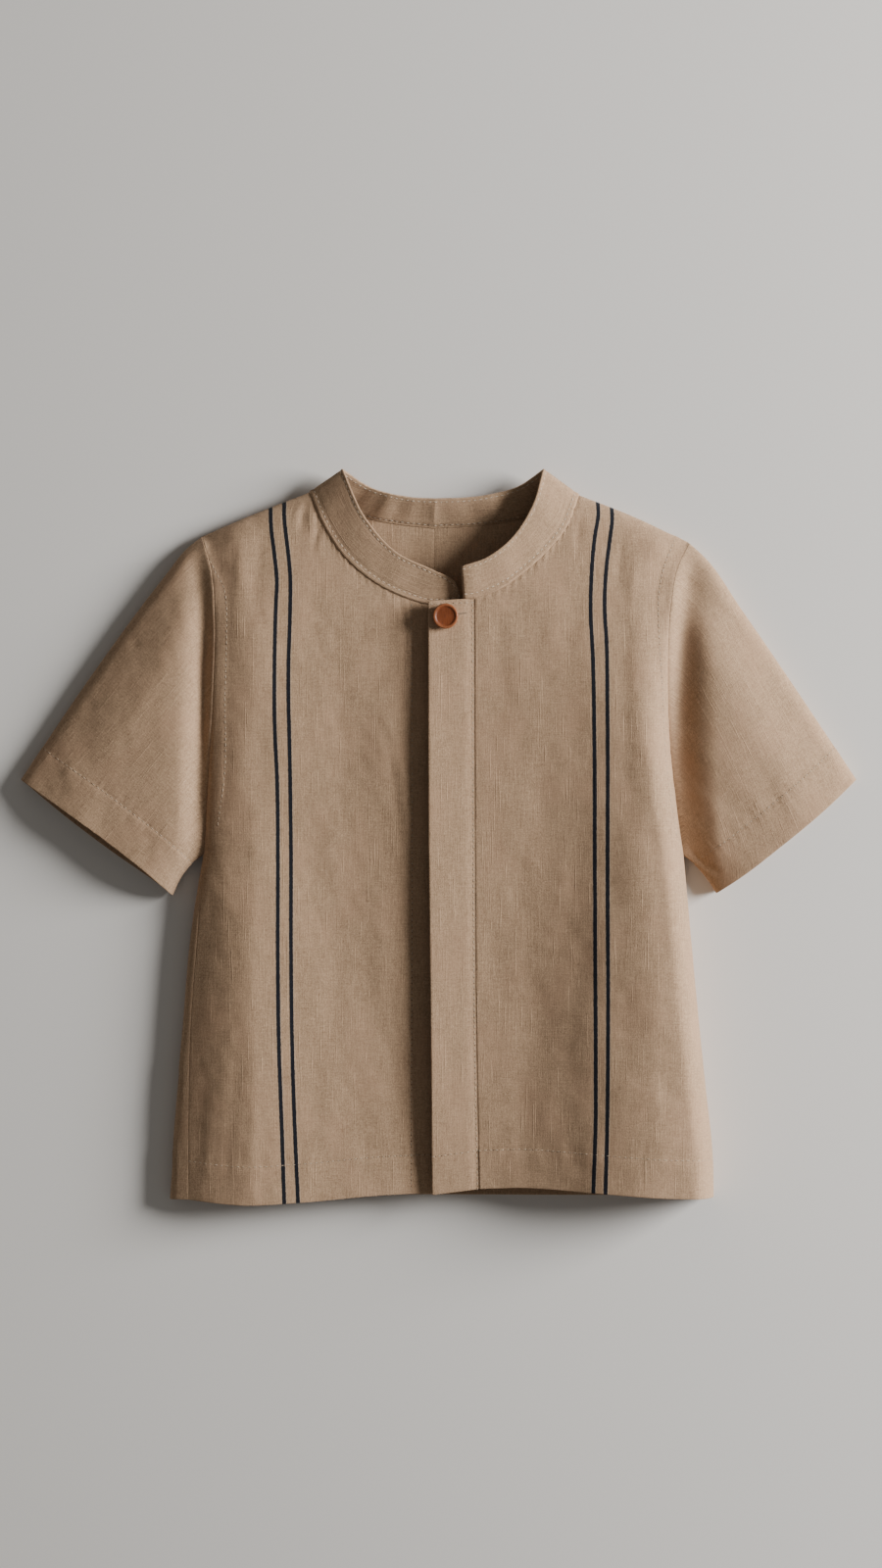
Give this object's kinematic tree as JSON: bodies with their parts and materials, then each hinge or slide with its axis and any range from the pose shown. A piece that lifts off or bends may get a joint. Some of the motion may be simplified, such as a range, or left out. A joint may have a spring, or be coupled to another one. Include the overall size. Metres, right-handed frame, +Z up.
{
  "type": "linen shirt",
  "caption": "Short-sleeved linen shirt with a standing neckband, front placket and wooden button, laid out flat.",
  "frame": {"origin": "on the surface that the shirt lies on, under the middle of its outline", "axes": "+X across the shirt towards the wearer's left sleeve, +Y towards the neck, +Z up, out of the front"},
  "size_m": [0.5102, 0.4481, 0.0374],
  "materials": {
    "linen": "matte greige linen with navy stripes",
    "button_wood": "satin red-brown wood"
  },
  "bodies": {
    "root": {"front_right": "linen", "front_left": "linen", "back_right": "linen", "back_left": "linen", "placket": "linen", "sleeve_right": "linen", "sleeve_left": "linen", "neckband": "linen", "button": "button_wood"}
  },
  "joints": []
}
